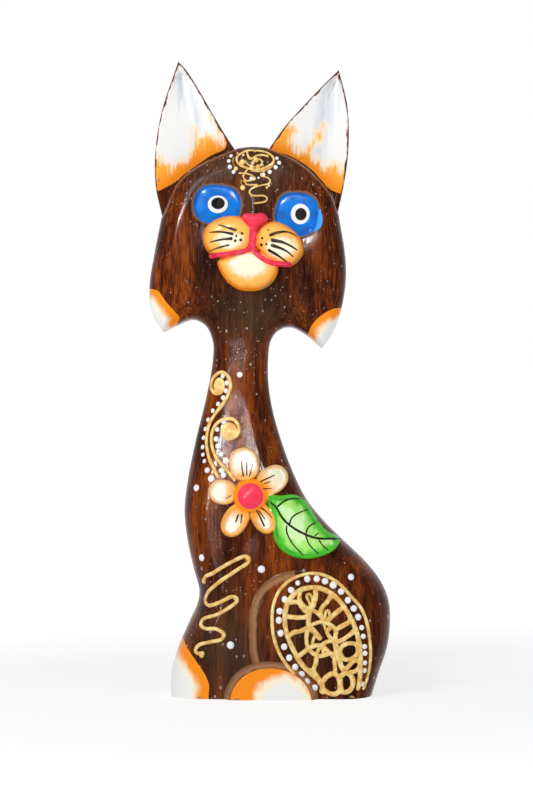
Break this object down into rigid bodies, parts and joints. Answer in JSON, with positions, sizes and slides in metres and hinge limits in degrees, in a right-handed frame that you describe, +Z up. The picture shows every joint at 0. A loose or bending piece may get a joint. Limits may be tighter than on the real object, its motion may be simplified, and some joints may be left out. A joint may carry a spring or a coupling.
{
  "type": "painted wooden cat figurine",
  "caption": "Tall seated cat carved from one piece of wood, with upright ears, raised muzzle and a low-relief flower, standing on a flat base.",
  "frame": {"origin": "centre of the bounding box, on the flat underside", "axes": "+Z up along the figure's height; the face and the painted front look along -Y; +X is the side of the haunch"},
  "size_m": [0.1138, 0.056, 0.3],
  "materials": {
    "painted_wood": "dark brown stain under glossy lacquer, with enamel colours, piped gold lines and white dots"
  },
  "bodies": {
    "root": {"cat": "painted_wood"}
  },
  "joints": []
}
